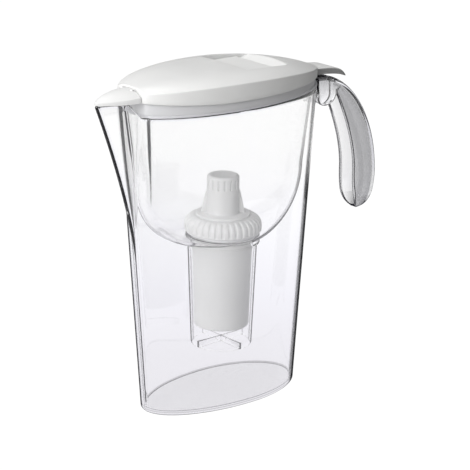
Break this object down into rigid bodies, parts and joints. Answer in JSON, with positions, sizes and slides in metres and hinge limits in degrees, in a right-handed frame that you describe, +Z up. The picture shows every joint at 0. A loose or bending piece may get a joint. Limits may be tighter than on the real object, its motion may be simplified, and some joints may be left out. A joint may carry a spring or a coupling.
{
  "type": "water_filter_pitcher",
  "caption": "Clear fridge pitcher with an oval body, a beak spout, a hanging hopper with a filter cartridge, and a white lid with a fill flap and a spout cover.",
  "frame": {"origin": "centre of the base's flat face, on the surface the pitcher stands on", "axes": "+Z up; +X from the spout toward the handle; +Y completes a right-handed frame; the pitcher is symmetric about y = 0"},
  "size_m": [0.2657, 0.087, 0.2557],
  "materials": {
    "clear_plastic": "clear, moulded, polished",
    "cartridge_plastic": "light grey-white, moulded, satin",
    "seal_rubber": "soft, matt",
    "screen_felt": "white felt disc",
    "filter_granules": "black and cream granules",
    "lid_plastic": "white, moulded, satin gloss",
    "liner_plastic": "light grey, moulded"
  },
  "bodies": {
    "jug": {"jug_body": "clear_plastic", "handle": "clear_plastic"},
    "hopper_unit": {"hopper": "clear_plastic", "cartridge_well": "clear_plastic"},
    "cartridge": {"cartridge_shell": "cartridge_plastic", "cartridge_seal": "seal_rubber", "inlet_cap": "cartridge_plastic", "upper_screen": "screen_felt", "filter_media": "filter_granules", "lower_screen": "screen_felt"},
    "lid": {"lid_shell": "lid_plastic", "lid_liner": "liner_plastic"},
    "flap": {"fill_flap": "lid_plastic"},
    "cover": {"spout_cover": "lid_plastic"}
  },
  "joints": [
    {"name": "hopper_lift", "type": "slide", "parent": "jug", "child": "hopper_unit", "axis": [0, 0, 1], "range_m": [0, 0.2]},
    {"name": "cartridge_lift", "type": "slide", "parent": "hopper_unit", "child": "cartridge", "axis": [0, 0, 1], "range_m": [0, 0.13]},
    {"name": "lid_lift", "type": "slide", "parent": "cartridge", "child": "lid", "axis": [0, 0, 1], "range_m": [0, 0.06]},
    {"name": "fill_flap_hinge", "type": "hinge", "parent": "lid", "child": "flap", "pos_m": [0.004, 0, 0.2498], "axis": [0, -1, 0], "range_deg": [0, 95]},
    {"name": "spout_cover_hinge", "type": "hinge", "parent": "lid", "child": "cover", "pos_m": [-0.0854, 0, 0.2479], "axis": [0, 1, 0], "range_deg": [0, 70]}
  ]
}
